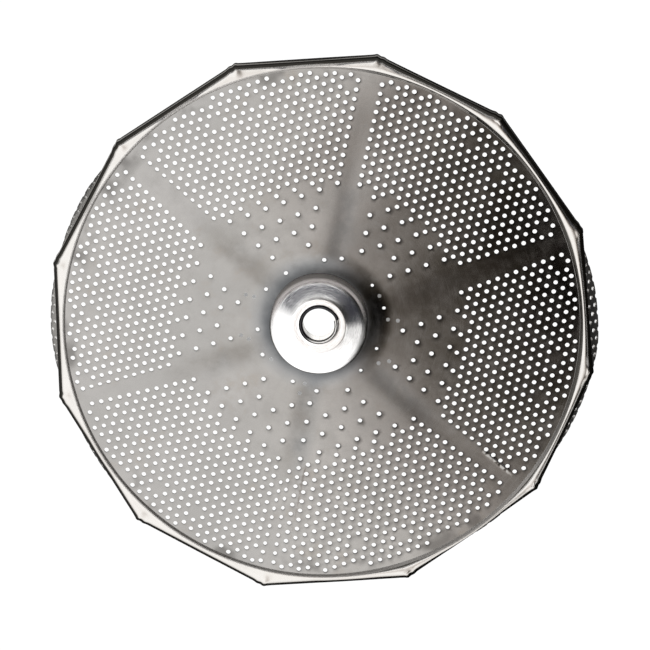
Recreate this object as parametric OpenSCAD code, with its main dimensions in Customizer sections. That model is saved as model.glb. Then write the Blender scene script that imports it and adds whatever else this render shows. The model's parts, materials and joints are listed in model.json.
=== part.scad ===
// Sieve disc of a large hand-cranked food mill.
// A perforated stainless plate with six ribs pressed into it is folded down
// over a perforated skirt hoop along a hand-crimped twelve-sided rim. A turned
// cap, a rolled bush and a backing washer form the hub for the crank axle.
// Origin: hub axis, in the plane of the skirt's lower edge. +Z is the food side.

/* [Perforation] */
// Distance between neighbouring holes (mm)
pitch = 4; // [3.9:0.05:4.1]
// Diameter of each hole (mm)
hole_d = 2.1; // [1.5:0.1:2.4]
// Distance of the innermost full row from the hub, counted in rows
dense_row = 16; // [14:2:18]
// Radius of the circle that holds every hole centre (mm)
holes_r = 107.7; // [100:0.1:107.8]
// Shift of each sector's hole pattern along its far rib, in pitches
shift_far = 1.5; // [1.4:0.05:1.7]
// Shift of each sector's hole pattern along its near rib, in pitches
shift_near = 0.3; // [0.2:0.05:0.5]

/* [Sieve plate] */
// Thickness of the plate (mm)
sheet_t = 0.9; // [0.8:0.05:1]
// Rise of the six flat sectors from the rim to the hub axis (mm)
rise = 7.6; // [6:0.1:8]
// Height of the plate's top face at the rim, above the skirt's edge (mm)
floor_z = 15.1; // [15:0.05:15.3]
// Radius of the step between the sieve floor and the rim bead (mm)
floor_r = 108.8; // [108.8:0.1:109]

/* [Ribs] */
// Width of each rib where it leaves the plate (mm)
rib_w = 5.2; // [4.6:0.1:5.4]
// Depth each rib is pressed below the plate (mm)
rib_h = 0.9; // [0.6:0.1:1.2]

/* [Rim] */
// Radius of the rim at its corners (mm)
rim_r = 116; // [115.8:0.1:116.4]
// Height of the rim bead above the skirt's lower edge (mm)
rim_z = 16.6; // [16.4:0.05:16.8]
// Depth of the folded flange (mm)
flange_h = 8; // [6:0.5:9]
// Bearing of each hand-folded rim corner, clockwise from +Y (deg)
corners = [0.5, 31, 60, 90, 118, 150, 181, 211.5, 241, 270, 299.5, 330];
// Radius of the pinched pleat at each corner (mm)
pleat_r = 1.7; // [1.2:0.1:2]

/* [Skirt] */
// Number of flats in the bent hoop
skirt_n = 36; // [36]
// Outer radius of the hoop at its lower edge (mm)
skirt_r = 115.6; // [115:0.1:116]
// Outer radius of the hoop where the flange clamps it (mm)
clamp_r = 110.45; // [110.4:0.01:110.5]
// Height of the flared part of the hoop (mm)
flare_h = 8; // [7:0.5:8]
// Thickness of the hoop (mm)
skirt_t = 0.6; // [0.5:0.1:0.6]

/* [Hub] */
// Outer diameter of the cap (mm)
cap_d = 41.4; // [40:0.2:42]
// Height of the cap's face above the plate's seat (mm)
cap_h = 7.6; // [4:0.1:8]
// Diameter of the bush's bore (mm)
bore_d = 13.6; // [13:0.1:14]
// Wall thickness of the rolled bush (mm)
bush_t = 1.5; // [1.2:0.1:1.6]
// Width of the bush's rolled seam (mm)
seam_w = 0.5; // [0.3:0.1:0.8]
// Diameter of the backing washer (mm)
washer_d = 36; // [34:0.5:40]
// Thickness of the backing washer (mm)
washer_t = 1.2; // [1:0.1:1.5]

/* [Hidden] */

steel = [0.72, 0.70, 0.68];
bright = [0.86, 0.86, 0.87];
dull = [0.58, 0.57, 0.55];

wedge_reach = 130; // length of cutting wedges, past the rim

// Sectors: the ribs lie half_a to either side of a sector's middle line
sector_n = 6;
half_a = 180 / sector_n;
inner_r = 23;
apex_z = floor_z + rise;
sector_tilt = atan(rise / floor_r);
rib_tilt = atan(rise / floor_r * cos(half_a));
sector_lap = 1.2; // widening of each sector edge at wedge_reach

// Hole pattern
half_row = dense_row - 1; // row between the sparse and the dense holes
last_step = 25;
dense_gaps = [[12, 15], [16, 10], [1, 24], [23, 2]];
half_row_extras = [[12, 3], [2, 13], [14, 1]];
sparse_inner = [[4, 2], [0, 6]];

// Ribs
rib_flank = 1.2; // sideways run of each sloping flank
rib_wall = 0.6;  // extra half width of the rib's outer side

// Rim
step_t = 0.55;
step_drop = 1.3;     // reach of the step's wall below floor_z
flange_inset = 0.93; // flange thickness, measured at the corners
pleat_inset = 1.2;   // pleat centres, inwards from the corners

// Skirt
skirt_h = rim_z - sheet_t;
panel_w = 28;        // each flat before its ends are mitred
mitre_lap = 0.06;    // extra angle that joins neighbouring flats (deg)
hole_margin = 1.5;   // least distance of hole centres from the flare's top

// Hub
seat_z = 23.4;
seat_r = 21.3;
seat_foot_r = 25.2;
hub_r = bore_d / 2 + bush_t;
fit = 0.02; // gap between the bush and the parts around it
washer_z = seat_z - sheet_t - washer_t;
lip_h = 1.3;
lip_w = 1.8;
bush_top = 0.7; // bush above the cap's face height

// Unit vector at an angle clockwise from +Y
function bearing(angle) = [sin(angle), cos(angle)];

// Hole pattern of one sector in lattice steps: far runs along the far rib and
// near along the near rib. Rows far + near = const lie across the sector.
function listed(step, table) = len([for (entry = table) if (entry == step) 1]) > 0;
function dense(far, near) =
    far + near >= dense_row
    && far >= (near >= 14 ? 0 : 2)
    && near >= (far >= 14 ? 1 : 2)
    && !listed([far, near], dense_gaps);
function transition(far, near) =
    far + near == half_row
    && ((far % 2 == 1 && near >= 2 && far >= 3) || listed([far, near], half_row_extras));
function sparse(far, near) =
    far % 2 == 0 && near % 2 == 0 && far + near < half_row
    && (far + near >= 8
        ? far >= 2 && near >= 2 && [far, near] != [4, 4]
        : listed([far, near], sparse_inner));
function holed(far, near) = dense(far, near) || transition(far, near) || sparse(far, near);

// Place of a hole in a sector with its middle line along +Y
function place(far, near) =
    pitch * ((far + shift_far) * bearing(half_a) + (near + shift_near) * bearing(-half_a));

// Flat outline of one sector, in its own plane, middle line along +Y
module sector_outline() {
    half_w = tan(half_a) * cos(sector_tilt) * wedge_reach + sector_lap;
    intersection() {
        polygon([[0, 0], [half_w, wedge_reach], [-half_w, wedge_reach]]);
        difference() {
            circle(r = floor_r + 0.3, $fn = 96);
            circle(r = inner_r, $fn = 48);
        }
    }
}

module sector(mirrored) {
    side = mirrored ? -1 : 1;
    translate([0, 0, apex_z]) rotate([-sector_tilt, 0, 0])
        translate([0, 0, -sheet_t]) linear_extrude(height = sheet_t)
            difference() {
                sector_outline();
                for (far = [0 : last_step]) for (near = [1 : last_step])
                    if (holed(far, near) && norm(place(far, near)) <= holes_r)
                        translate([side * place(far, near)[0], place(far, near)[1]])
                            circle(d = hole_d, $fn = 24);
            }
}

// Straight channel sections under the joints of the sectors: width w at height
// high, one rib_flank narrower on each side at height low
module channels(w, high, low, start, end) {
    low_x = w / 2 - rib_flank;
    for (s = [0 : sector_n - 1]) rotate([0, 0, -2 * half_a * s])
        translate([0, 0, apex_z]) rotate([-rib_tilt, 0, 0])
            rotate([90, 0, 180]) translate([0, 0, start])
                linear_extrude(height = end - start)
                    polygon([[-w / 2, high], [w / 2, high], [low_x, low], [-low_x, low]]);
}

module rim_polygon(r) {
    polygon([for (angle = corners) r * bearing(angle)]);
}

module rim() {
    // bead
    translate([0, 0, rim_z - sheet_t]) linear_extrude(height = sheet_t)
        difference() {
            rim_polygon(rim_r);
            circle(r = floor_r, $fn = 96);
        }
    // step down to the sieve floor
    translate([0, 0, floor_z - step_drop]) linear_extrude(height = rim_z - floor_z + step_drop)
        difference() {
            circle(r = floor_r + step_t, $fn = 96);
            circle(r = floor_r, $fn = 96);
        }
    // flange with its pleats
    translate([0, 0, rim_z - flange_h]) linear_extrude(height = flange_h)
        difference() {
            union() {
                rim_polygon(rim_r);
                for (angle = corners)
                    translate((rim_r - pleat_inset) * bearing(angle))
                        circle(r = pleat_r, $fn = 24);
            }
            rim_polygon(rim_r - flange_inset);
        }
}

// Raised seat with a sloping edge that meets the sectors; points are [r, z]
module hub_seat() {
    rotate_extrude($fn = 96) polygon([
        [hub_r, seat_z - sheet_t], [seat_r, seat_z - sheet_t],
        [seat_foot_r, 20.5], [seat_foot_r, 21.1],
        [seat_r + 0.3, seat_z], [hub_r, seat_z]]);
}

module sieve_plate() {
    color(steel) difference() {
        union() {
            for (s = [0 : sector_n - 1])
                rotate([0, 0, -half_a * (2 * s + 1)]) sector(s >= sector_n / 2);
            channels(rib_w + 2 * rib_wall, -0.3, -sheet_t - rib_h,
                inner_r + 1.2, floor_r + 0.25);
            rim();
            hub_seat();
        }
        // grooves in the food side
        channels(rib_w, 1.1, -rib_h, inner_r + 5.3, floor_r - 1.7);
    }
}

// One flat of the hoop, its flared part leaning outwards, middle line on +Y
module hoop_flat() {
    apothem = cos(180 / skirt_n);
    lean = atan((skirt_r - clamp_r) / flare_h);
    run = flare_h / cos(lean);
    column_w = 2 * skirt_r * tan(180 / skirt_n) / 6;
    // flared part, drawn from its lower edge upwards
    translate([0, skirt_r * apothem, 0]) rotate([90 + lean, 0, 0])
        linear_extrude(height = skirt_t) difference() {
            translate([-panel_w / 2, 0]) square([panel_w, run + 0.3]);
            for (i = [-3 : 2]) for (j = [0 : 2]) {
                y = j * pitch + (i % 2 == 0 ? 0 : pitch / 2);
                if (y < run - hole_margin)
                    translate([(i + 0.5) * column_w, y]) circle(d = hole_d, $fn = 24);
            }
        }
    // clamped edge
    translate([-panel_w / 2, clamp_r * apothem - skirt_t, flare_h])
        cube([panel_w, skirt_t, skirt_h - flare_h]);
}

module skirt_hoop() {
    mitre = 180 / skirt_n + mitre_lap;
    color(dull) for (i = [0 : skirt_n - 1]) rotate([0, 0, -360 / skirt_n * i])
        intersection() {
            hoop_flat();
            linear_extrude(height = skirt_h)
                polygon([[0, 0], wedge_reach * bearing(mitre), wedge_reach * bearing(-mitre)]);
        }
}

// Turned cap: rounded shoulder, conical face, raised collar around the bush
module hub_cap() {
    cap_r = cap_d / 2;
    round_r = 1.2;
    round_z = cap_h - 3.4;
    color(bright) translate([0, 0, seat_z]) rotate_extrude($fn = 96) polygon([
        [hub_r + fit, 0], [cap_r - 0.6, 0], [cap_r, 0.5], [cap_r, round_z],
        for (a = [0 : 15 : 90]) [cap_r - round_r + round_r * cos(a), round_z + round_r * sin(a)],
        [17.8, cap_h - 2], [12.2, cap_h - 0.2],
        for (a = [0 : 30 : 180]) [10.4 + 1.1 * cos(a), cap_h + 0.3 + 0.9 * sin(a)],
        [hub_r + fit, cap_h + 0.2]]);
}

// Rolled strip, lipped over the washer below, with its seam left open
module hub_bush() {
    lip_z = washer_z - lip_h;
    color(dull) difference() {
        translate([0, 0, lip_z]) union() {
            cylinder(r = hub_r - fit, h = seat_z + cap_h + bush_top - lip_z, $fn = 64);
            cylinder(r = hub_r + lip_w, h = lip_h - fit, $fn = 64);
        }
        translate([0, 0, lip_z - 1]) cylinder(d = bore_d, h = 40, $fn = 64);
        rotate([0, 0, 25]) translate([0, -seam_w / 2, lip_z - 1]) cube([20, seam_w, 40]);
    }
}

module hub_washer() {
    color(dull) translate([0, 0, washer_z]) difference() {
        cylinder(d = washer_d, h = washer_t, $fn = 96);
        translate([0, 0, -1]) cylinder(r = hub_r + fit, h = 4, $fn = 64);
    }
}

sieve_plate();
skirt_hoop();
hub_cap();
hub_bush();
hub_washer();
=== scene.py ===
# Round perforated steel sieve plate with a folded twelve-cornered rim. A perforated strip, bent
# into a hoop, stands inside the rim; a rolled bush with a turned cap above and a washer below
# fills the middle. It lies flat on the floor, +Z up, hub axis on the origin.
# Bearings are degrees clockwise from +Y, seen from above.
import bmesh
import bpy
import json
import math
import numpy as np
from mathutils import Matrix, Vector
from mathutils.geometry import delaunay_2d_cdt
from types import SimpleNamespace

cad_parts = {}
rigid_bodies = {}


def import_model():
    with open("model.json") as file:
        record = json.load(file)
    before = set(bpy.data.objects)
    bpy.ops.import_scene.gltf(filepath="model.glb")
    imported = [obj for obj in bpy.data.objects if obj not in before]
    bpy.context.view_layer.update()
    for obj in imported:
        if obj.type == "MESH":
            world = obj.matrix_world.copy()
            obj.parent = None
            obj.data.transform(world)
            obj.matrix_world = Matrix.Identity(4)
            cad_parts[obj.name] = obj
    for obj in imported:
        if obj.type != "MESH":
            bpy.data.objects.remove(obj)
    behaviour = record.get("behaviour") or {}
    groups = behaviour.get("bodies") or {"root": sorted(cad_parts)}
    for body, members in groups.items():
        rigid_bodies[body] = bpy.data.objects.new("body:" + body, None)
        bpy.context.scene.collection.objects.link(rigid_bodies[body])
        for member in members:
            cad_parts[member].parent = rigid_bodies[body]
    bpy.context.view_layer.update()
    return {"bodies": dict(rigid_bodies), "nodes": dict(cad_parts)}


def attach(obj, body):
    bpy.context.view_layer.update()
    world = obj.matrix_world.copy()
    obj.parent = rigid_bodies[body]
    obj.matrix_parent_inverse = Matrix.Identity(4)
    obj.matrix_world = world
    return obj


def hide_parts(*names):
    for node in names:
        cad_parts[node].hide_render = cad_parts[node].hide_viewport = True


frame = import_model()

# ---------------------------------------------------------------- dimensions
# Shapes are in millimetres and become metres in make_mesh(); materials, floor and camera
# distance are in metres.
PITCH = 4.0        # hole spacing
HOLE_R = 0.96
BLIND_R = 0.42     # radius entry that marks a hole struck but not pierced
HOLES_R = 107.7    # the pattern stops here
HOLE_LIMIT = 1.75  # hole centres keep this far inside the floor's edge
FLOOR_R = 108.8    # perforated floor, inside the rim
FLOOR_Z = 15.1     # its height at the edge
RISE = 7.6         # and how much higher its middle is
SHEET_T = 0.9
CREST_Z = 16.6     # top of the rim
BORE_R = 9.0       # middle opening of the sheet
SEAT_Z = 23.4      # where the cap sits
WASHER_Z = SEAT_Z - SHEET_T - 1.2
BUSH_FLANGE = 1.3  # bush below the washer
BUSH_TOP = SEAT_Z + 7.6
BUSH_SEAM = 64.5   # bearing of the seam
HOOP_H = 15.6
HOOP_T = 0.6
# Plate and hoop sit this far off the hub's axis
OFF = np.array([1.58, -2.13])
# The camera's right and up, laid flat
VIEW_RIGHT = (0.980, 0.198, 0)
VIEW_UP = (-0.198, 0.980, 0)

# Hand-pressed sectors, no two alike: pitch and bearing of the near-rib axis,
# pitch and bearing of the far-rib axis, lattice origin x, y
SECTORS = [
    (3.888, 1.26, 3.974, 62.02, -2.71, 3.90),
    (4.080, 58.68, 3.924, 118.23, -0.29, -1.97),
    (4.212, 116.68, 4.112, 178.29, -8.20, 1.54),
    (3.998, 182.73, 4.078, 243.81, 3.95, -1.90),
    (3.827, 241.45, 3.971, 302.38, -3.86, -4.08),
    (3.925, 299.00, 3.987, 0.00, -0.42, 1.19),
]
HUB_SECTOR = 9  # sector number given to the holes of the next two tables
# Holes on the hub's fillet: bearing, radius
HUB_HOLES = [
    (350.7, 28.5), (4.7, 30.2), (38.9, 27.6), (61.8, 27.3), (101.0, 24.9), (127.7, 25.0),
    (173.5, 28.0), (196.2, 26.8), (232.6, 28.0), (255.7, 27.2), (292.6, 28.4), (315.1, 27.4)]
# Blind holes next to them: bearing, radius
BLIND_HOLES = [
    (50.1, 27.6), (72.5, 28.0), (74.2, 32.1), (112.1, 28.6), (106.5, 32.0), (185.0, 25.6),
    (186.8, 30.3), (225.4, 25.6), (248.4, 31.4), (252.1, 34.4), (282.6, 31.3), (281.4, 34.8),
    (177.8, 34.6)]
# Rim corners, folded by hand: bearing, radius
CORNERS = [
    (0.2, 116.4), (29.3, 116.3), (58.8, 116.8), (89.0, 116.5), (116.8, 115.7), (150.4, 116.1),
    (181.2, 117.0), (211.5, 116.4), (242.5, 116.2), (271.2, 116.4), (300.4, 116.1), (330.2, 116.1)]
# One entry per rib: the side (+1 clockwise) with narrow holes, and how far out they are narrowest
SQUASH = [(-1, 200), (-1, 100), (-1, 92), (1, 75), (1, 92), (1, 85)]
RIB_DEPTH = 0.022
# Pinched creases: rib number, distance across it, from, to, height
CREASES = [(2, -4.35, 88, 101, 0.17), (4, 4.6, 86, 101, 0.10), (3, -4.6, 62, 100, 0.09)]
# Uneven lower edge of the hoop: bearing, radius
HOOP_LOW = [
    (0, 109.0), (30, 109.4), (50, 111.6), (64, 114.6), (72, 116.2), (84, 117.2), (94, 116.2),
    (104, 115.4), (113, 114.2), (122, 114.6), (136, 113.8), (152, 114.6), (180, 115.4),
    (212, 115.2), (236, 115.0), (247, 115.2), (256, 115.8), (264, 115.8), (270, 115.2),
    (277, 114.8), (288, 113.6), (301, 111.0), (320, 109.6), (340, 109.0)]

# Tags of flat points. The edge of hole k has tag k, the ring round it has AROUND - k.
EDGE, BORE, FILL, DIMPLE, AROUND = -1, -2, -4, -5, -10


def rad(degrees):
    return math.radians(degrees)


def smooth(start, end, x):
    t = np.clip((np.asarray(x, float) - start) / (end - start), 0, 1)
    return t * t * (3 - 2 * t)


def bearing(degrees):
    return np.array([math.sin(rad(degrees)), math.cos(rad(degrees))])


def on_rings(angles, radius):
    """Flat points at bearings given in radians"""
    return np.stack([radius * np.sin(angles), radius * np.cos(angles)], -1)


def turn_from(degrees, centre):
    """Signed difference from a bearing"""
    return (degrees - centre + 180) % 360 - 180


def unit(rows):
    return rows / np.maximum(np.linalg.norm(rows, axis=1, keepdims=True), 1e-6)


# ------------------------------------------------------------- hole pattern
# p counts rows along the far rib of a sector, q along the near rib
def dense(p, q):
    return (p + q >= 16 and p >= (0 if q >= 14 else 2) and q >= (1 if p >= 14 else 2)
            and (p, q) not in ((12, 15), (16, 10), (1, 24), (23, 2)))


def transition(p, q):
    extras = ((12, 3), (2, 13), (14, 1), (0, 15), (1, 14))
    return p + q == 15 and ((p % 2 == 1 and q >= 2 and p >= 3) or (p, q) in extras)


def sparse(p, q):
    if p % 2 or q % 2 or not 8 <= p + q < 15:
        return False
    return (p >= 2 and q >= 2 and (p, q) != (4, 4)) or (p, q) == (0, 14)


def sector_holes(number):
    near_pitch, near_bearing, far_pitch, far_bearing, origin_x, origin_y = SECTORS[number]
    near_axis = near_pitch * bearing(near_bearing)
    far_axis = far_pitch * bearing(far_bearing)
    holes = []
    for p in range(27):
        for q in range(27):
            if not (dense(p, q) or transition(p, q) or sparse(p, q)):
                continue
            i, j = p + 1.5, q + 0.3
            if PITCH * math.sqrt(i ** 2 + j ** 2 + i * j) > HOLES_R:
                continue
            # the last three sectors are laid out mirrored
            if number < 3:
                centre = j * near_axis + i * far_axis
            else:
                centre = i * near_axis + j * far_axis
            x, y = centre[0] + origin_x, centre[1] + origin_y
            r = math.hypot(x, y)
            if r > FLOOR_R - HOLE_LIMIT:
                shrink = (FLOOR_R - HOLE_LIMIT) / r
                x, y = x * shrink, y * shrink
            holes.append((x, y, number, p, q, HOLE_R))
    return holes


def hole_table():
    """Every hole: x, y, sector, p, q, radius"""
    holes = []
    for number in range(len(SECTORS)):
        holes += sector_holes(number)
    for b, r in HUB_HOLES:
        size = HOLE_R * (0.76 if 35 < b < 130 else 0.96)
        holes.append((*(r * bearing(b)), HUB_SECTOR, 0, 0, size))
    for b, r in BLIND_HOLES:
        holes.append((*(r * bearing(b)), HUB_SECTOR, 0, 0, BLIND_R))
    holes = np.array(holes)
    # no two holes may run into each other across a rib
    keep = np.ones(len(holes), bool)
    for i in range(len(holes)):
        if keep[i]:
            rest = holes[i + 1:]
            gap = np.hypot(rest[:, 0] - holes[i, 0], rest[:, 1] - holes[i, 1])
            keep[i + 1:][gap < 2.9] = False
    return holes[keep]


HOLES = hole_table()


# ------------------------------------------------------------ plate heights
def rib_local(x, y):
    """Distance along and across the nearest rib, and the bearing"""
    r = np.hypot(x, y)
    point_bearing = np.degrees(np.arctan2(x, y))
    off_rib = np.radians((point_bearing + 30) % 60 - 30)
    return r * np.cos(off_rib), r * np.sin(off_rib), point_bearing


def sheet_z(x, y):
    x, y = np.asarray(x, float), np.asarray(y, float)
    along, across, _ = rib_local(x, y)
    z = FLOOR_Z + RISE * (1 - (np.hypot(x, y) / FLOOR_R) ** 2)
    # pressed rib: a faint channel that grows soft and deeper near the hub
    channel = 1 - smooth(0.4, 5.4, np.abs(across))
    z = z - RIB_DEPTH * channel * smooth(25, 34, along) * smooth(107.5, 98, along)
    soft = np.exp(-(across / 5.0) ** 2)
    z = z - 0.050 * soft * smooth(24, 34, along) * smooth(80, 48, along)
    for rib, offset, start, end, height in CREASES:
        u, v = bearing(60 * rib), bearing(60 * rib + 90)
        out, side = x * u[0] + y * u[1], x * v[0] + y * v[1]
        ridge = np.exp(-((side - offset) / 0.55) ** 2)
        z = z + height * ridge * smooth(start - 3, start + 3, out) * smooth(end + 3, end - 3, out)
    # fillet up to the hub seat
    z = z + 0.85 * smooth(32.0, 20.6, np.hypot(x + OFF[0], y + OFF[1])) ** 1.6
    # hand-made unevenness
    z = z + 0.10 * np.sin(x * 0.061 + 1.3) * np.cos(y * 0.053 - 0.4)
    return z + 0.05 * np.sin(x * 0.13 - y * 0.11)


def sheet_normal(x, y):
    step = 0.05
    slope_x = (sheet_z(x + step, y) - sheet_z(x - step, y)) / (2 * step)
    slope_y = (sheet_z(x, y + step) - sheet_z(x, y - step)) / (2 * step)
    normal = np.stack([-slope_x, -slope_y, np.ones_like(slope_x)], -1)
    return normal / np.linalg.norm(normal, axis=-1, keepdims=True)


# -------------------------------------------------------------- mesh helpers
def make_mesh(name, verts, faces, mat, sharp):
    mesh = bpy.data.meshes.new(name)
    verts = np.asarray(verts, float) * 0.001
    mesh.from_pydata([tuple(v) for v in verts], [], [tuple(int(i) for i in f) for f in faces])
    mesh.validate()
    mesh.update()
    mesh.polygons.foreach_set("use_smooth", [True] * len(mesh.polygons))
    mesh.set_sharp_from_angle(angle=rad(sharp))
    ob = bpy.data.objects.new(name, mesh)
    bpy.context.scene.collection.objects.link(ob)
    mesh.materials.append(mat)
    return ob


def make_solid(name, verts, faces, mat, sharp):
    """A closed mesh, its faces turned outwards"""
    ob = make_mesh(name, verts, faces, mat, sharp)
    bm = bmesh.new()
    bm.from_mesh(ob.data)
    bmesh.ops.recalc_face_normals(bm, faces=bm.faces)
    bm.to_mesh(ob.data)
    bm.free()
    return ob


def sweep_faces(spans, sections, size):
    """Quads between neighbouring closed sections of `size` points"""
    faces = []
    for i in range(spans):
        a, b = i * size, ((i + 1) % sections) * size
        for k in range(size):
            k2 = (k + 1) % size
            faces.append((a + k, b + k, b + k2, a + k2))
    return faces


def triangulate(points, tags, spare_tag, least):
    """Net of tagged points, counter-clockwise, open inside every hole and the bore.

    Returns points, triangles, the tag of each point and its number among the given ones.
    Triangles whose doubled area is not above `least` are dropped.
    """
    tags = np.array(tags)
    out = delaunay_2d_cdt([Vector((float(x), float(y))) for x, y in points], [], [], 0, 1e-6)
    flat = np.array([tuple(v) for v in out[0]])
    tris = np.array([f for f in out[2] if len(f) == 3])
    source = np.array([o[0] if len(o) else -1 for o in out[3]])
    tag = np.where(source >= 0, tags[source], spare_tag)
    corner = tag[tris]
    same = (corner == corner[:, :1]).all(axis=1)
    tris = tris[~(same & ((corner[:, 0] >= 0) | (corner[:, 0] == BORE)))]
    a, b, c = (flat[tris[:, i]] for i in range(3))
    doubled = ((b[:, 0] - a[:, 0]) * (c[:, 1] - a[:, 1])
               - (b[:, 1] - a[:, 1]) * (c[:, 0] - a[:, 0]))
    tris = np.where((doubled < 0)[:, None], tris[:, ::-1], tris)
    return flat, tris[np.abs(doubled) > least], tag, source


def boundary_edges(tris, count):
    directed = np.concatenate([tris[:, [0, 1]], tris[:, [1, 2]], tris[:, [2, 0]]])
    ends = np.sort(directed, axis=1)
    _, first, uses = np.unique(ends[:, 0] * count + ends[:, 1], return_index=True,
                               return_counts=True)
    return directed[first[uses == 1]]


# ----------------------------------------------------------------------- rim
def rim_stations():
    """Bearings round the rim, closer together at the corners"""
    found = set(np.round(np.arange(0, 360, 1.25), 3))
    for b, _ in CORNERS:
        for k in np.arange(-4.2, 4.21, 0.3):
            found.add(round((b + k) % 360, 3))
    found = np.array(sorted(found))
    return found[np.r_[True, np.diff(found) > 0.12]]


def rim_radius(th):
    """Outer radius of the folded rim: twelve flats, blunt corners, a pinched pleat on each"""
    out = np.full(len(th), 999.0)
    for i, (b0, r0) in enumerate(CORNERS):
        b1, r1 = CORNERS[(i + 1) % len(CORNERS)]
        a, b = r0 * bearing(b0), r1 * bearing(b1)
        # outward normal of the flat and its distance from the middle
        normal = np.array([b[1] - a[1], a[0] - b[0]])
        normal = normal / math.hypot(*normal)
        reach = a[0] * normal[0] + a[1] * normal[1]
        if reach < 0:
            normal, reach = -normal, -reach
        c = normal[0] * np.sin(np.radians(th)) + normal[1] * np.cos(np.radians(th))
        out = np.minimum(out, np.where(c > 0.5, reach / np.maximum(c, 0.5), 999.0))
    for i, (b0, r0) in enumerate(CORNERS):
        turn = turn_from(th, b0)
        facet = (r0 - 0.62) / np.cos(np.radians(turn + (1.5 if i % 2 else -1.2)))
        out = np.where(np.abs(turn) < 6, np.minimum(out, facet), out)
        side_pleat = turn + (1.5 if i % 3 else -1.5)
        out = out + 0.75 * np.exp(-(turn / 0.62) ** 2) + 0.28 * np.exp(-(side_pleat / 0.5) ** 2)
    return out


TH = rim_stations()
RIM_R = rim_radius(TH)


def rim_profile(edge_z):
    """Rows of the rim, from the sheet's top over the crest, down and back under.

    Each row holds radius, height and painted lip shade at every station.
    """
    rows = []

    def row(radius, height, dark=0.0):
        rows.append([value * np.ones(len(TH)) for value in (radius, height, dark)])

    waver = 0.10 * np.sin(np.radians(TH * 5 + 20)) + 0.06 * np.sin(np.radians(TH * 17))
    corner_bearings = np.array([c[0] for c in CORNERS])
    to_corner = np.min(np.abs(turn_from(TH[:, None], corner_bearings[None])), axis=1)
    nub = np.exp(-(to_corner / 0.8) ** 2)
    crest_z = CREST_Z + waver * 0.6
    # on the view's right the crest bows out into each corner and widens there;
    # on the left it hugs the sheet
    bow = np.clip(RIM_R - 112.2, 0, 4.2)
    right = smooth(-50, 60, 112 * np.sin(np.radians(TH + 11.4)))
    half = 0.14 + 0.15 * bow * right
    crest_r = FLOOR_R + 0.86 + (0.64 + 0.52 * bow) * right
    foot_r = FLOOR_R + 0.22
    row(FLOOR_R + 0.10, edge_z + 0.04)
    for k in (0.0, 0.2, 0.4, 0.6, 0.8, 1.0):
        row(foot_r + (crest_r - half - foot_r) * k,
            edge_z + 0.12 + (crest_z - 0.05 - edge_z - 0.12) * (1 - (1 - k) ** 1.8))
    row(crest_r, crest_z)
    row(crest_r + half, crest_z - 0.02)
    # shallow slope out to the rounded fold
    fold = np.minimum(2.5, RIM_R - crest_r - half - 0.12)
    fold_r = RIM_R - fold
    slope = fold_r - crest_r - half
    fall = (0.05 + 0.11 * right) * slope
    row(crest_r + half + slope * 0.5, crest_z - 0.02 - 0.5 * fall + nub * 0.04)
    fold_z = crest_z - fall
    # the third value in these rows is painted shade on the fold and the outer wall
    for b in (0, 15, 30, 45, 60, 75, 90):
        row(fold_r + fold * math.sin(rad(b)),
            fold_z - 0.05 - fold * (1 - math.cos(rad(b))) + nub * 0.26 * math.cos(rad(b)),
            min(1.0, max(0.0, (b - 10) / 22)))
    # outer wall, lower lip, inner wall
    lip = 8.0 + 0.25 * np.sin(np.radians(TH * 7)) + 0.15 * np.sin(np.radians(TH * 12 + 50))
    row(RIM_R + 0.03, 13.0, 1.0)
    row(RIM_R - 0.02, 10.6, 0.3)
    for inset, lift in ((0.10, 0.5), (0.28, 0.1), (0.55, 0), (0.80, 0.12), (0.93, 0.5)):
        row(RIM_R - inset, lip + lift)
    row(RIM_R - SHEET_T, 10.6)
    row(RIM_R - SHEET_T, 13.0)
    # underside
    for b in (90, 60, 30, 0):
        row(fold_r + (fold - SHEET_T) * math.sin(rad(b)),
            fold_z - 0.95 - (fold - SHEET_T) * (1 - math.cos(rad(b))))
    row(np.maximum(FLOOR_R + 1.15, crest_r - half - 0.1), fold_z - 0.9)
    row(FLOOR_R + 0.95, edge_z - 0.3)
    row(FLOOR_R + 0.5, edge_z - 0.85)
    return rows


# --------------------------------------------------------------- sieve plate
def hole_outline(k, circle):
    """Outline of hole k about its own centre"""
    x, y, size = HOLES[k, 0], HOLES[k, 1], HOLES[k, 5]
    along, across, turn = rib_local(x, y)
    r = math.hypot(x, y)
    tangential = radial = size * (1 + 0.03 * math.sin(k * 2.4))
    # holes along one side of each rib are narrow
    side, narrowest = SQUASH[round(turn / 60) % 6]
    if r > 48 and float(across) * side > 0 and abs(float(across)) < 5.4:
        tangential *= 0.74 + 0.2 * min(1, abs(float(along) - narrowest) / 30)
    if r < 32 and size > 0.9:
        radial *= 0.92
    c, s = math.cos(-rad(turn)), math.sin(-rad(turn))
    e = np.stack([tangential * np.cos(circle), radial * np.sin(circle)], -1)
    return np.stack([e[:, 0] * c - e[:, 1] * s, e[:, 0] * s + e[:, 1] * c], -1)


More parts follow.
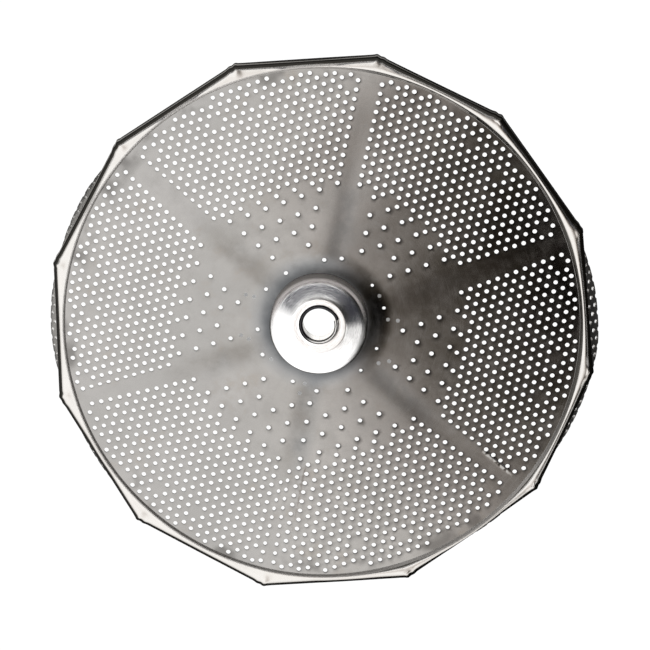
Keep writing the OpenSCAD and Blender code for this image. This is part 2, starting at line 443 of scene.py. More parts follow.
def fill_points():
    """Points between holes: rows across each rib, a loose grid, and rings round the hub"""
    bucket = 4  # side of the squares the holes are sorted into
    cells = {}
    for i, (x, y) in enumerate(HOLES[:, :2]):
        cells.setdefault((int(x // bucket), int(y // bucket)), []).append(i)

    def clear(x, y, gap):
        cx, cy = int(x // bucket), int(y // bucket)
        for i in range(cx - 1, cx + 2):
            for j in range(cy - 1, cy + 2):
                for k in cells.get((i, j), ()):
                    if (HOLES[k, 0] - x) ** 2 + (HOLES[k, 1] - y) ** 2 < gap * gap:
                        return False
        return True

    fill = []
    for rib in range(6):
        u, v = bearing(60 * rib), bearing(60 * rib + 90)
        for along in np.arange(24, 107.6, 1.7):
            for across in np.arange(-5.6, 5.7, 0.8):
                c = u * along + v * across
                if math.hypot(*c) < FLOOR_R - 0.7 and clear(c[0], c[1], 1.85):
                    fill.append(c)
    for i, y in enumerate(np.arange(-108, 108.1, 1.9)):
        for x in np.arange(-108, 108.1, 2.1):
            x = x + (1.05 if i % 2 else 0)
            r = math.hypot(x, y)
            _, across, _ = rib_local(x, y)
            if (math.hypot(x + OFF[0], y + OFF[1]) > BORE_R + 0.6 and r < FLOOR_R - 0.9
                    and (abs(float(across)) > 6.2 or r < 24) and clear(x, y, 2.0)):
                fill.append(np.array([x, y]))
    for r in np.arange(19.5, 32.1, 0.9):
        count = int(r * 5)
        for k in range(count):
            t = 2 * math.pi * (k + (r * 3 % 1)) / count
            x, y = r * math.sin(t) - OFF[0], r * math.cos(t) - OFF[1]
            if clear(x, y, 1.75):
                fill.append(np.array([x, y]))
    return fill


def plate_points():
    points, tags = [], []

    def add(rows, tag):
        points.extend([tuple(p) for p in rows])
        tags.extend([tag] * len(rows))

    add(on_rings(np.radians(TH), FLOOR_R), EDGE)
    add(on_rings(np.linspace(0, 2 * math.pi, 96, endpoint=False), BORE_R) - OFF, BORE)
    circle = np.linspace(0, 2 * math.pi, 14, endpoint=False)
    for k, hole in enumerate(HOLES):
        centre, size = hole[:2], hole[5]
        if size < 0.5:
            # blind hole: a dull dimple
            for radius, tag in ((1.0, FILL), (0.6, DIMPLE)):
                add(np.stack([radius * np.cos(circle), radius * np.sin(circle)], -1) + centre, tag)
            add(centre[None], DIMPLE)
            continue
        outline = hole_outline(k, circle)
        add(outline + centre, k)
        add(outline * (1 + 0.42 / size) + centre, AROUND - k)
    add(fill_points(), FILL)
    return points, tags


def set_sheet_normals(mesh, flat, tag):
    """True normals of the sheet, so that only the narrow rolled edge of each hole turns away"""
    count = len(flat)
    rolled = tag >= 0
    normals = sheet_normal(flat[:, 0], flat[:, 1])
    normals[rolled, :2] -= 0.055 * unit(HOLES[tag[rolled], :2] - flat[rolled])
    normals /= np.linalg.norm(normals, axis=1, keepdims=True)
    vertex = np.empty(len(mesh.loops), dtype=np.int32)
    mesh.loops.foreach_get("vertex_index", vertex)
    start = np.empty(len(mesh.polygons), dtype=np.int32)
    mesh.polygons.foreach_get("loop_start", start)
    total = np.empty(len(mesh.polygons), dtype=np.int32)
    mesh.polygons.foreach_get("loop_total", total)
    highest, lowest = np.maximum.reduceat(vertex, start), np.minimum.reduceat(vertex, start)
    up = np.repeat(highest < count, total)
    down = np.repeat((lowest >= count) & (highest < 2 * count), total)
    # zero leaves a corner's own normal
    custom = np.zeros((len(vertex), 3))
    custom[up] = normals[vertex[up]]
    custom[down] = -normals[vertex[down] - count]
    mesh.normals_split_custom_set([tuple(v) for v in custom])


def add_attribute(mesh, name, values):
    attribute = mesh.attributes.new(name, "FLOAT", "POINT")
    attribute.data.foreach_set("value", values.astype(np.float32))


def hole_shade_rings(flat, tag, size):
    """Painted shade in a ring round each hole, heavier on one side and toward the view's right"""
    ring_shade = np.zeros(size)
    lone = np.where((HOLES[:, 3] + HOLES[:, 4] < 15) & (HOLES[:, 2] < HUB_SECTOR), 1.4, 1.0)
    edge, around = tag >= 0, tag <= AROUND
    # mask, hole numbers, mean level, swing from side to side
    for mask, hole, level, swing in ((edge, tag[edge], 0.62, 0.38),
                                     (around, AROUND - tag[around], 0.34, 0.22)):
        to_hole = unit(HOLES[hole, :2] - flat[mask])
        right = smooth(-55, 45, flat[mask] @ np.array(VIEW_RIGHT[:2]))
        one_sided = level - swing * (to_hole @ np.array([0.833, -0.553]))
        ring_shade[:len(flat)][mask] = lone[hole] * one_sided * (0.42 + 0.58 * right)
    return ring_shade


def sieve_plate(mat):
    points, tags = plate_points()
    flat, tris, tag, source = triangulate(points, tags, spare_tag=FILL, least=1e-6)
    count = len(flat)
    z = sheet_z(flat[:, 0], flat[:, 1])
    top = np.c_[flat, z]
    top[tag >= 0, 2] -= 0.045
    verts = [top, np.c_[flat, z - SHEET_T]]
    # walls of the holes and of the bore
    edges = boundary_edges(tris, count)
    walls = edges[(tag[edges[:, 0]] != EDGE) | (tag[edges[:, 1]] != EDGE)]
    quads = [(b, a, a + count, b + count) for a, b in walls]
    # rim profile swept through every station; it shares the floor's outer ring
    on_edge = {int(source[i]): i for i in range(count) if tag[i] == EDGE}
    outer = np.array([on_edge[i] for i in range(len(TH))])
    profile = rim_profile(top[outer, 2])
    rings = [outer]
    for k, (radius, height, _) in enumerate(profile):
        verts.append(np.c_[on_rings(np.radians(TH), radius), height])
        rings.append(2 * count + k * len(TH) + np.arange(len(TH)))
    rings.append(outer + count)
    # stations run clockwise seen from +Z
    j = np.arange(len(TH))
    j2 = (j + 1) % len(TH)
    for a, b in zip(rings[:-1], rings[1:]):
        quads.extend(zip(a[j], a[j2], b[j2], b[j]))
    verts = np.concatenate(verts)
    verts[:, :2] += OFF
    faces = [tuple(f) for f in np.concatenate([tris, tris[:, ::-1] + count])] + quads
    ob = make_mesh("plate_sheet", verts, faces, mat, sharp=50)

    set_sheet_normals(ob.data, flat, tag)
    size = len(ob.data.vertices)
    # ring: painted shade round each hole
    add_attribute(ob.data, "ring", hole_shade_rings(flat, tag, size))
    # lip: painted shade on the rim's outer fold and wall
    add_attribute(ob.data, "lip", np.concatenate([np.zeros(2 * count)] + [p[2] for p in profile]))
    dots = np.zeros(size)
    dots[:count][tag == DIMPLE] = 1.0
    add_attribute(ob.data, "dot", dots)
    return ob


# ---------------------------------------------------------------------- hoop
def hoop_points():
    """Unrolled strip: distance round, height. Its lower edge cuts through a row of holes."""
    length = 2 * math.pi * 112.0
    columns = 2 * round(length / (PITCH * math.sqrt(3)))
    step = length / columns
    points, tags = [], []
    hole = 0
    for i in range(columns):
        u = (i + 0.5) * step
        for j in range(4):
            v = j * PITCH + (0 if i % 2 else PITCH / 2)
            if v > HOOP_H - 2:
                continue
            if v == 0:
                angles = np.linspace(0, math.pi, 8)
            else:
                angles = np.linspace(0, 2 * math.pi, 12, endpoint=False)
            for t in angles:
                points.append((u + HOLE_R * math.cos(t), v + HOLE_R * math.sin(t)))
                tags.append(hole)
            hole += 1
        between = u + step / 2
        plain = [] if i % 2 else [(u, 0.0)]
        plain += [(u, HOOP_H), (u, HOOP_H - 1.3)]
        plain += [(between, HOOP_H), (between, 5.0), (between, 9.6)]
        points += plain
        tags += [EDGE] * len(plain)
    for u in (0.0, length):
        for v in np.arange(0, HOOP_H + 0.01, HOOP_H / 10):
            points.append((u, v))
            tags.append(EDGE)
    return points, tags, length


def skirt_hoop(mat):
    """Strip of perforated stock bent into a hoop, with a narrow gap at its seam"""
    seam_bearing, seam_gap = 195, 0.25
    points, tags, length = hoop_points()
    flat, tris, _, _ = triangulate(points, tags, spare_tag=EDGE, least=1e-5)
    count = len(flat)
    th = (flat[:, 0] / length * (360 - seam_gap) + seam_bearing + seam_gap / 2) % 360
    v = flat[:, 1]
    top_r = np.minimum(np.interp(th, TH, RIM_R, period=360) - 1.0, 113.4)
    low_bearings, low_radii = np.array(HOOP_LOW).T
    low_r = np.interp(th, low_bearings, low_radii, period=360)
    f = np.clip(v / 8.4, 0, 1)
    f = f * 0.75 + 0.25 * f * f * (3 - 2 * f)
    radius = low_r + (top_r - low_r) * f + 0.22 * np.sin(np.radians(th * 9)) * (1 - f)
    z = v * (15.55 / HOOP_H) + 0.02
    t = np.radians(th)
    verts = np.concatenate([np.c_[on_rings(t, radius), z], np.c_[on_rings(t, radius - HOOP_T), z]])
    verts[:, :2] += OFF
    faces = [tuple(x) for x in tris[:, ::-1]] + [tuple(x) for x in (tris + count)]
    faces += [(a, b, b + count, a + count) for a, b in boundary_edges(tris, count)]
    return make_solid("hoop_strip", verts, faces, mat, sharp=40)


# ----------------------------------------------------------------------- hub
def revolve(name, profile, base_z, mat, steps, sharp, lean=0.0):
    """Turned solid from a closed profile of radius and height above base_z.

    Its upper, outer part is carried toward -Y by `lean`.
    """
    verts = []
    for t in np.linspace(0, 2 * math.pi, steps, endpoint=False):
        for r, height in profile:
            verts.append((r * math.sin(t), r * math.cos(t), base_z + height))
    verts = np.array(verts)
    outer = smooth(8.5, 14.0, np.hypot(verts[:, 0], verts[:, 1]))
    verts[:, 1] -= lean * smooth(base_z, base_z + 5.5, verts[:, 2]) * outer
    return make_solid(name, verts, sweep_faces(steps, steps, len(profile)), mat, sharp)


def hub_cap(mat):
    shoulder = [(19.75 + 0.9 * math.cos(rad(a)), 4.02 + 0.9 * math.sin(rad(a)))
                for a in np.linspace(0, 71.5, 7)]
    # radius, height above the seat: foot and wall, shoulder, cone, collar
    profile = [
        (8.34, 0.05), (19.3, 0.02), (19.5, -0.42), (20.35, -0.42), (20.6, -0.2), (20.65, 0.6),
        (20.65, 2.2), *shoulder, (19.2, 5.155), (18.35, 5.44), (18.05, 5.53),
        (17.4, 5.71), (16.0, 6.10), (14.6, 6.49), (13.2, 6.88), (12.2, 7.155), (11.65, 7.31),
        (11.5, 7.345), (11.35, 7.36), (11.1, 7.365), (9.6, 7.365), (8.8, 7.345), (8.45, 7.37),
        (8.34, 7.17)]
    return revolve("hub_cap_turned", profile, SEAT_Z, mat, steps=160, sharp=50, lean=1.35)


def hub_bush(mat):
    """Strip rolled into a tube: closed section swept once round, rising at the seam"""
    z0, z1 = WASHER_Z - BUSH_FLANGE, BUSH_TOP
    spans = 150
    # radius, height: flange, bore, rounded mouth
    section = [
        (8.26, z0 + BUSH_FLANGE), (10.05, z0 + 1.25), (10.1, z0 + 0.7), (9.6, z0 + 0.15),
        (8.6, z0), (7.4, z0), (6.9, z0 + 0.25), (6.78, z0 + 0.9),
        (6.76, z1 - 1.2), (6.82, z1 - 0.5), (7.05, z1 - 0.1), (7.45, z1 + 0.12),
        (7.85, z1 + 0.05), (8.15, z1 - 0.2), (8.28, z1 - 0.6), (8.3, z1 - 1.4)]
    size = len(section)
    verts = []
    for i in range(spans + 1):
        f = i / spans
        t = rad(BUSH_SEAM + 0.9 + f * 358.2)
        # the roll opens slightly: the outer end laps past the inner end
        spread = 0.55 * smooth(0.86, 1.0, f) - 0.35 * smooth(0.12, 0.0, f)
        lift = 0.30 * smooth(0.80, 1.0, f) - 0.15 * smooth(0.15, 0.0, f)
        for r, z in section:
            if z > z1 - 1.3:
                r, z = r + spread, z + lift
            verts.append((r * math.sin(t), r * math.cos(t), z))
    faces = sweep_faces(spans, spans + 1, size)
    faces.append(tuple(range(size)))
    faces.append(tuple(reversed(range(spans * size, (spans + 1) * size))))
    return make_solid("bush_rolled", verts, faces, mat, sharp=45)


def hub_washer(mat):
    # radius, height above its underside
    profile = [
        (8.36, 0.1), (8.55, 0), (17.6, 0), (17.9, 0.12), (18.0, 0.4), (18.0, 0.85),
        (17.85, 1.1), (17.5, 1.18), (8.55, 1.18), (8.36, 1.05)]
    return revolve("washer_plain", profile, WASHER_Z, mat, steps=128, sharp=30)


# ----------------------------------------------------------------- materials
class Nodes:
    """Writes the node tree of a material or world"""

    def __init__(self, owner):
        owner.use_nodes = True
        self.tree = owner.node_tree
        self.tree.nodes.clear()
        self.x = 0

    def plug(self, socket, value):
        if isinstance(value, bpy.types.NodeSocket):
            self.tree.links.new(value, socket)
        else:
            socket.default_value = value

    def new(self, kind, inputs=None, **settings):
        node = self.tree.nodes.new(kind)
        self.x += 60
        node.location = (self.x, 0)
        for key, value in settings.items():
            setattr(node, key, value)
        for key, value in (inputs or {}).items():
            self.plug(node.inputs[key], value)
        return node

    def math(self, operation, a, b=0.0, clamp=False):
        return self.new("ShaderNodeMath", {0: a, 1: b, 2: 0.0}, operation=operation,
                        use_clamp=clamp).outputs[0]

    def add(self, a, b):
        return self.math("ADD", a, b)

    def subtract(self, a, b):
        return self.math("SUBTRACT", a, b)

    def multiply(self, a, b):
        return self.math("MULTIPLY", a, b)

    def length(self, x, y):
        return self.math("SQRT", self.add(self.multiply(x, x), self.multiply(y, y)))

    def ease(self, value, over, to=(0.0, 1.0)):
        """Eased from to[0] where value is over[0], to to[1] where it is over[1]"""
        if over[0] >= over[1]:
            over, to = over[::-1], to[::-1]
        inputs = {"Value": value, "From Min": over[0], "From Max": over[1],
                  "To Min": to[0], "To Max": to[1]}
        return self.new("ShaderNodeMapRange", inputs, interpolation_type="SMOOTHSTEP",
                        clamp=True).outputs[0]

    def mix(self, factor, a, b):
        """Colours are sockets or plain triples"""
        a, b = ((*v, 1) if isinstance(v, tuple) else v for v in (a, b))
        return self.new("ShaderNodeMix", {0: factor, 6: a, 7: b}, data_type="RGBA").outputs[2]

    def noise(self, vector, scale, detail, rough):
        inputs = {"Vector": vector, "Scale": scale, "Detail": detail, "Roughness": rough}
        return self.new("ShaderNodeTexNoise", inputs).outputs["Fac"]

    def scaled(self, vector, by):
        return self.new("ShaderNodeVectorMath", {0: vector, 1: by}, operation="MULTIPLY").outputs[0]

    def dot(self, vector, axis):
        return self.new("ShaderNodeVectorMath", {0: vector, 1: axis},
                        operation="DOT_PRODUCT").outputs["Value"]

    def attribute(self, name):
        return self.new("ShaderNodeAttribute", attribute_name=name).outputs["Fac"]

    def output(self, shader, kind="ShaderNodeOutputMaterial"):
        self.new(kind, {0: shader.outputs[0]})


def steel(name, dark, light, rough, grain, bump, stain, swirl=0.0, tint=(0.93, 0.84, 0.74),
          finish_and_painted_light=None):
    """Stainless: drifting colour and roughness, rolled grain, turning marks, water stains.

    dark, light: ends of the colour drift; rough: ends of the roughness drift; grain: noise
    scale per axis; stain, swirl: strength of stains and turning marks; finish_and_painted_light
    changes the look and adds painted light and shade.
    """
    mat = bpy.data.materials.new(name)
    N = Nodes(mat)
    coords = N.new("ShaderNodeTexCoord").outputs["Object"]
    x, y, z = N.new("ShaderNodeSeparateXYZ", {0: coords}).outputs
    radius = N.length(x, y)
    angle = N.math("ARCTAN2", y, x)
    polar = N.new("ShaderNodeCombineXYZ", {0: radius, 1: N.multiply(angle, 0.02), 2: z}).outputs[0]
    big = N.noise(coords, scale=22, detail=3, rough=0.55)
    mid = N.noise(coords, scale=110, detail=4, rough=0.6)
    fine = N.noise(N.scaled(coords, by=grain), scale=1.0, detail=2, rough=0.5)
    rings = N.noise(N.scaled(polar, by=(2600, 180, 40)), scale=1.0, detail=2, rough=0.6)
    blot = N.noise(coords, scale=55, detail=5, rough=0.7)

    colour = N.mix(N.ease(big, over=(0.3, 0.7)), dark, light)
    mottle = N.multiply(N.ease(mid, over=(0.35, 0.75)), 0.25)
    colour = N.mix(mottle, colour, tuple(c * 0.8 for c in dark))
    stained = N.mix(0.6, colour, tuple(a * b for a, b in zip(light, tint)))
    colour = N.mix(N.multiply(N.ease(blot, over=(0.55, 0.72)), stain), colour, stained)

    roughness = N.add(N.ease(big, over=(0.3, 0.7), to=rough),
                      N.ease(mid, over=(0.3, 0.8), to=(-0.02, 0.05)))
    roughness = N.add(roughness, N.multiply(N.ease(rings, over=(0.5, 0.75)), 0.10 * swirl))
    roughness = N.add(roughness, N.ease(fine, over=(0.35, 0.8), to=(-0.015, 0.03)))

    # metal is a node, so that the finish_and_painted_light hook can take from it
    look = SimpleNamespace(coords=coords, x=x, y=y, z=z, radius=radius, angle=angle, big=big,
                           mid=mid, blot=blot, colour=colour, rough=roughness,
                           metal=N.add(1.0, 0.0))
    if finish_and_painted_light:
        finish_and_painted_light(N, look)
    height = N.add(N.multiply(fine, 0.6), N.multiply(rings, swirl))
    height = N.add(height, N.multiply(mid, 0.8))
    relief = N.new("ShaderNodeBump", {"Strength": bump, "Distance": 0.0004, "Height": height})
    N.output(N.new("ShaderNodeBsdfPrincipled", {
        "Metallic": look.metal, "Base Color": look.colour, "Roughness": look.rough,
        "Normal": relief.outputs[0]}))
    return mat


def sheet_painted_shade(N, look, plate_r, plate_angle):
    """Painted shade: dark rings round holes, dark bands along the ribs and round the hub, dark
    patches at the rim
    """
    colour = look.colour
    # painted shade: dark ring round each hole
    hole_shade = N.multiply(N.ease(N.attribute("ring"), over=(0.05, 0.95)), 0.86)
    colour = N.mix(hole_shade, colour, (0.035, 0.033, 0.031))
    # distance across the nearest rib; ribs are 60 degrees apart
    turn = N.math("FLOORED_MODULO", N.add(plate_angle, math.pi * 2), math.pi / 3)
    turn = N.math("ABSOLUTE", N.subtract(turn, math.pi / 6))
    turn = N.math("ABSOLUTE", N.subtract(turn, 0.0))
    across = N.math("ABSOLUTE", N.multiply(plate_r, N.math("SINE", turn)))
    # painted shade of the shallow rib valleys: dark soft bands along the inner half of the ribs
    reach = N.multiply(N.ease(plate_r, over=(0.078, 0.048)),
                       N.ease(look.radius, over=(0.020, 0.028)))
    band = N.multiply(N.ease(across, over=(0.0085, 0.0008)), reach)
    rib_shade_colour = N.mix(N.ease(look.big, over=(0.42, 0.58)), (0.12, 0.105, 0.09), (0.10, 0.11, 0.12))
    patchy = N.ease(look.blot, over=(0.3, 0.6), to=(0.22, 0.42))
    colour = N.mix(N.multiply(band, patchy), colour, rib_shade_colour)
    # painted shade: bluish dark halo round the hub
    halo = N.multiply(N.ease(look.radius, over=(0.031, 0.0225)),
                      N.ease(look.big, over=(0.35, 0.65), to=(0.42, 0.62)))
    colour = N.mix(halo, colour, (0.115, 0.13, 0.15))
    # painted shadow: darker still, close round the foot of the hub
    near_hub = N.multiply(N.ease(look.radius, over=(0.0265, 0.0210)),
                          N.ease(look.mid, over=(0.3, 0.6), to=(0.45, 0.70)))
    colour = N.mix(near_hub, colour, (0.045, 0.05, 0.055))
    # painted shade of small dents: dark patches where the sheet meets the rim
    spots = N.ease(N.noise(look.coords, scale=38, detail=3, rough=0.6), over=(0.52, 0.64))
    rim_dent_shade = N.multiply(N.ease(plate_r, over=(0.1000, 0.1070)), spots)
    rim_dent_shade = N.multiply(rim_dent_shade, N.ease(plate_r, over=(0.1092, 0.1088)))
    look.colour = N.mix(N.multiply(rim_dent_shade, 0.55), colour, (0.07, 0.065, 0.06))


def sheet_finish_and_painted_light(N, look):
    # the sheet and its ribs are centred a little off the hub
    x, y = N.subtract(look.x, OFF[0] * 0.001), N.subtract(look.y, OFF[1] * 0.001)
    plate_r = N.length(x, y)
    sheet_painted_shade(N, look, plate_r, N.math("ARCTAN2", y, x))
    # polished rim, its colour lightened as a painted highlight along the crest
    rim = N.ease(plate_r, over=(0.1089, 0.1094))
    colour = N.mix(rim, look.colour, (0.66, 0.64, 0.615))
    rim_rough = N.multiply(rim, N.ease(look.mid, over=(0.3, 0.7), to=(0.14, 0.22)))
    rough = N.add(N.multiply(look.rough, N.subtract(1.0, rim)), rim_rough)
    # painted highlight: the foot of the rim is made pale and dull on the view's left and lower side
    foot = N.multiply(N.ease(plate_r, over=(0.1088, 0.1090)),
                      N.ease(plate_r, over=(0.1102, 0.1098)))
    left = N.ease(N.dot(look.coords, VIEW_RIGHT), over=(0.050, -0.020))
    lower = N.ease(N.dot(look.coords, VIEW_UP), over=(-0.020, -0.080))
    foot = N.multiply(foot, N.math("MAXIMUM", left, lower))
    metal = N.subtract(look.metal, N.multiply(foot, 0.80))
    colour = N.mix(foot, colour, (0.90, 0.875, 0.85))
    # painted shade: the rim's outer fold and wall darkened through the lip attribute
    colour = N.mix(N.multiply(N.attribute("lip"), 0.66), colour, (0.17, 0.165, 0.15))
    dimple = N.attribute("dot")
    look.colour = N.mix(N.multiply(dimple, 0.85), colour, (0.62, 0.63, 0.64))
    look.metal = N.math("SUBTRACT", metal, N.multiply(dimple, 0.70), clamp=True)
    look.rough = N.add(rough, N.multiply(N.add(foot, dimple), 0.30))


def cap_painted_light(N, look):
    """Painted light: collar painted white as a highlight; on the view's upper side the shoulder
    painted darker as a reflection and the wall painted pale and dull as a highlight
    """
    # painted highlight: the collar is made white
    collar = N.ease(look.radius, over=(0.0119, 0.0115))
    colour = N.mix(collar, look.colour, (1.0, 1.0, 1.0))
    # on the view's upper side: painted dark reflection on the shoulder, painted pale highlight on
    # the wall
    back = N.ease(N.dot(look.coords, VIEW_UP), over=(-0.002, 0.012))
    shoulder = N.multiply(N.ease(look.z, over=(0.02895, 0.02855)), back)
    wall = N.multiply(N.ease(look.z, over=(0.0286, 0.0284)), back)
    colour = N.mix(shoulder, colour, (0.42, 0.395, 0.39))
    look.colour = N.mix(wall, colour, (1.0, 0.945, 0.93))
    look.metal = N.subtract(look.metal, N.multiply(wall, 0.92))
    look.rough = N.add(look.rough, N.multiply(wall, 0.25))


def bush_painted_shadow(N, look):
    """Painted shadow: dark from the seam round to about 3.9 radians, anticlockwise seen from above
    """
    from_seam = N.subtract(look.angle, rad(90 - BUSH_SEAM))
    turn = N.math("FLOORED_MODULO", from_seam, 2 * math.pi)
    look.colour = N.mix(N.ease(turn, over=(3.65, 4.25)), (0.055, 0.055, 0.06), look.colour)


sheet_mat = steel(
    "sheet_steel", dark=(0.325, 0.315, 0.302), light=(0.375, 0.362, 0.348), rough=(0.12, 0.18),
    grain=(300, 300, 900), bump=0.03, swirl=0.35, stain=0.55, finish_and_painted_light=sheet_finish_and_painted_light)
# the hoop shares the sheet's steel; its much lighter colour is painted light from the pale floor
hoop_lit_mat = steel(
    "hoop_steel", dark=(0.80, 0.79, 0.77), light=(0.92, 0.91, 0.89), rough=(0.38, 0.50),
    grain=(300, 300, 3000), bump=0.06, stain=0.6)
cap_mat = steel(
    "cap_polished", dark=(0.86, 0.86, 0.87), light=(0.95, 0.95, 0.95), rough=(0.10, 0.18),
    grain=(300, 300, 300), bump=0.05, swirl=1.0, stain=0.25, tint=(0.85, 0.86, 0.95),
    finish_and_painted_light=cap_painted_light)
bush_mat = steel(
    "bush_steel", dark=(0.72, 0.71, 0.70), light=(0.86, 0.85, 0.84), rough=(0.16, 0.26),
    grain=(300, 300, 4000), bump=0.08, swirl=0.8, stain=0.5, finish_and_painted_light=bush_painted_shadow)
washer_mat = steel(
    "washer_steel", dark=(0.40, 0.39, 0.37), light=(0.52, 0.51, 0.49), rough=(0.25, 0.36),
    grain=(1800, 200, 300), bump=0.08, swirl=0.6, stain=0.5)

# ------------------------------------------------------------------ assembly
# CAD node: builder, material, slot
PIECES = {
    "sieve_plate": (sieve_plate, sheet_mat, "sheet_steel"),
    "skirt_hoop": (skirt_hoop, hoop_lit_mat, "sheet_steel"),
    "hub_cap": (hub_cap, cap_mat, "polished_steel"),
    "hub_bush": (hub_bush, bush_mat, "bush_steel"),
    "hub_washer": (hub_washer, washer_mat, "bush_steel"),
}
built = {node: build(mat) for node, (build, mat, _) in PIECES.items()}
body = list(frame["bodies"])[0]
for node, ob in built.items():
    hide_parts(node)
    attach(ob, body)
for node, ob in frame["nodes"].items():
    mat = PIECES[node][1]
    for material_slot in ob.material_slots:
        material_slot.material = mat

# -------------------------------------------------------------------- camera
TILT, TILT_BEARING, ROLL = 11.0, 187.0, 11.45  # how the product's axis leans and turns in view
DISTANCE = 3.0
VIEW_WIDTH = 0.27600849  # width seen at that distance


def camera_axes():
    """The camera's right, up and backward axes in the product's frame"""
    lean = math.sin(rad(TILT))
    # the product's own axes in camera coordinates
    z_axis = Vector((lean * math.sin(rad(TILT_BEARING)), lean * math.cos(rad(TILT_BEARING)),
                     math.cos(rad(TILT))))
    y_axis = Vector((math.sin(rad(ROLL)), math.cos(rad(ROLL)), 0))
    y_axis.z = -(y_axis.x * z_axis.x + y_axis.y * z_axis.y) / z_axis.z
    y_axis = y_axis.normalized()
    x_axis = y_axis.cross(z_axis)
    return [Vector((x_axis[i], y_axis[i], z_axis[i])) for i in range(3)]


RIGHT, UP, BACK = camera_axes()


def add_camera():
    data = bpy.data.cameras.new("camera")
    cam = bpy.data.objects.new("camera", data)
    bpy.context.scene.collection.objects.link(cam)
    data.sensor_width = 36
    data.lens = data.sensor_width * DISTANCE / VIEW_WIDTH
    data.clip_end = 20
    data.shift_x = 0.00692308
    data.shift_y = -0.02184615
    turn = Matrix((RIGHT, UP, BACK)).transposed()
    cam.matrix_world = Matrix.Translation(BACK * DISTANCE) @ turn.to_4x4()
    bpy.context.scene.camera = cam


# --------------------------------------------------------------------- stage
def floor_material():
    """White to the camera. The metal sees it bright round the disc on the view's left,
    dim beneath the disc and bright under the bore."""
    mat = bpy.data.materials.new("floor")
    N = Nodes(mat)
    coords = N.new("ShaderNodeTexCoord").outputs["Object"]
    x, y, _ = N.new("ShaderNodeSeparateXYZ", {0: coords}).outputs
    radius = N.length(x, y)
    side, north = N.dot(coords, RIGHT), N.dot(coords, UP)
    band = N.multiply(N.ease(radius, over=(0.116, 0.119)), N.ease(radius, over=(0.131, 0.124)))
    band = N.multiply(band, N.ease(side, over=(-0.04, 0.12), to=(0.80, 0.03)))
    band = N.multiply(band, N.ease(north, over=(-0.07, 0.05), to=(0.12, 1.0)))
    under_bore = N.ease(radius, over=(0.020, 0.010), to=(0.0, 1.3))
    base = N.ease(side, over=(-0.08, 0.06), to=(0.05, 0.008))
    strength = N.add(N.add(band, under_bore), base)
    seen_by_metal = N.new("ShaderNodeEmission",
                          {"Color": (1.0, 0.98, 0.95, 1), "Strength": strength})
    white = N.new("ShaderNodeEmission", {"Color": (1, 1, 1, 1), "Strength": 1.05})
    to_camera = N.new("ShaderNodeLightPath").outputs["Is Camera Ray"]
    N.output(N.new("ShaderNodeMixShader",
                   {0: to_camera, 1: seen_by_metal.outputs[0], 2: white.outputs[0]}))
    return mat


def add_floor():
    half, z = 3.0, -0.0006
    mesh = bpy.data.meshes.new("floor")
    corners = [(-half, -half, z), (half, -half, z), (half, half, z), (-half, half, z)]
    mesh.from_pydata(corners, [], [(0, 1, 2, 3)])
    floor = bpy.data.objects.new("floor", mesh)
    bpy.context.scene.collection.objects.link(floor)
    mesh.materials.append(floor_material())


# Room brightness by distance from its dark end: distance, red, green / red, blue / red
ROOM = [
    (0.00, 0.002, 0.66, 0.42), (0.09, 0.005, 0.66, 0.42), (0.131, 0.037, 0.76, 0.52),
    (0.162, 0.066, 0.82, 0.62), (0.212, 0.112, 0.87, 0.70), (0.237, 0.205, 0.88, 0.75),
    (0.259, 0.310, 0.89, 0.78), (0.299, 0.54, 0.91, 0.85), (0.346, 1.02, 0.945, 0.915),
    (0.411, 1.43, 0.985, 0.965), (0.450, 1.44, 0.995, 0.985), (0.498, 1.44, 1.0, 1.0)]
RAMP_SCALE = 1.8  # ramp position per unit of that distance


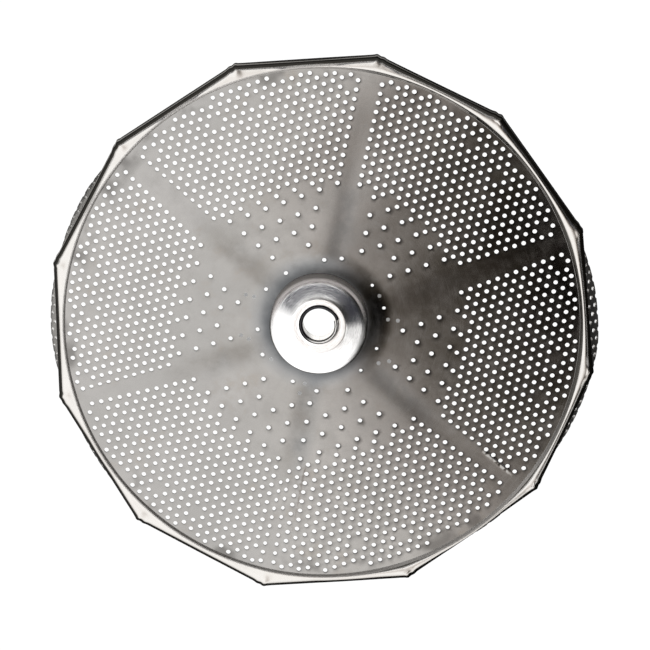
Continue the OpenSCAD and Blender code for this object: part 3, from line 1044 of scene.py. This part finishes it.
def room_ramp(N, distance):
    node = N.new("ShaderNodeValToRGB", {0: N.multiply(distance, RAMP_SCALE)})
    ramp = node.color_ramp
    ramp.interpolation = "LINEAR"
    while len(ramp.elements) > 1:
        ramp.elements.remove(ramp.elements[-1])
    for i, (away, red, green, blue) in enumerate(ROOM):
        position = away * RAMP_SCALE
        stop = ramp.elements[0] if i == 0 else ramp.elements.new(position)
        stop.position = position
        stop.color = (red, red * green, red * blue, 1)
    return node.outputs[0]


def add_world():
    """Soft studio light: a large pale source, falling off to a dark room at the view's right"""
    world = bpy.data.worlds.new("studio")
    bpy.context.scene.world = world
    N = Nodes(world)
    direction = N.new("ShaderNodeTexCoord").outputs["Generated"]
    right, up, back = (N.dot(direction, axis) for axis in (RIGHT, UP, BACK))
    # the dark end lies right of the camera's axis and below it
    dark_right, dark_up = 0.302, -0.299
    from_dark = N.length(N.subtract(N.math("MINIMUM", right, dark_right), dark_right),
                         N.subtract(up, dark_up))
    colour = room_ramp(N, from_dark)
    # round the mirror direction of a level surface: distance, and angle clockwise from up
    x, y = N.subtract(right, -0.046), N.subtract(up, -0.372)
    wide = N.length(x, y)
    clock = N.math("ARCTAN2", x, y)
    # steeper surfaces see a broad pale wall, but for a dim stretch of it at the top
    colour = N.mix(N.ease(wide, over=(0.40, 0.46)), colour, (1.42, 1.40, 1.38))
    stretch = N.multiply(N.ease(clock, over=(rad(-74), rad(-48))),
                         N.ease(clock, over=(rad(88), rad(80))))
    patch = N.multiply(N.ease(wide, over=(0.41, 0.455)), N.ease(wide, over=(0.605, 0.565)))
    colour = N.mix(N.multiply(patch, stretch), colour, (0.043, 0.046, 0.064))
    # dim surroundings beyond, darkest toward the lower right
    corner = N.subtract(right, N.multiply(up, 1.1))
    dim = N.mix(N.ease(corner, over=(-0.2, 0.5)), (0.10, 0.097, 0.09), (0.010, 0.009, 0.007))
    far = N.add(wide, N.ease(x, over=(0.2, 0.5), to=(0.0, 0.12)))
    colour = N.mix(N.ease(far, over=(0.58, 0.74)), colour, dim)
    colour = N.mix(N.ease(back, over=(0.15, 0.4)), dim, colour)
    N.output(N.new("ShaderNodeBackground", {"Color": colour, "Strength": 1.0}),
             kind="ShaderNodeOutputWorld")


add_camera()
add_floor()
add_world()

view = bpy.context.scene.view_settings
view.view_transform = "Standard"
view.look = "None"
view.exposure = 0
view.gamma = 1
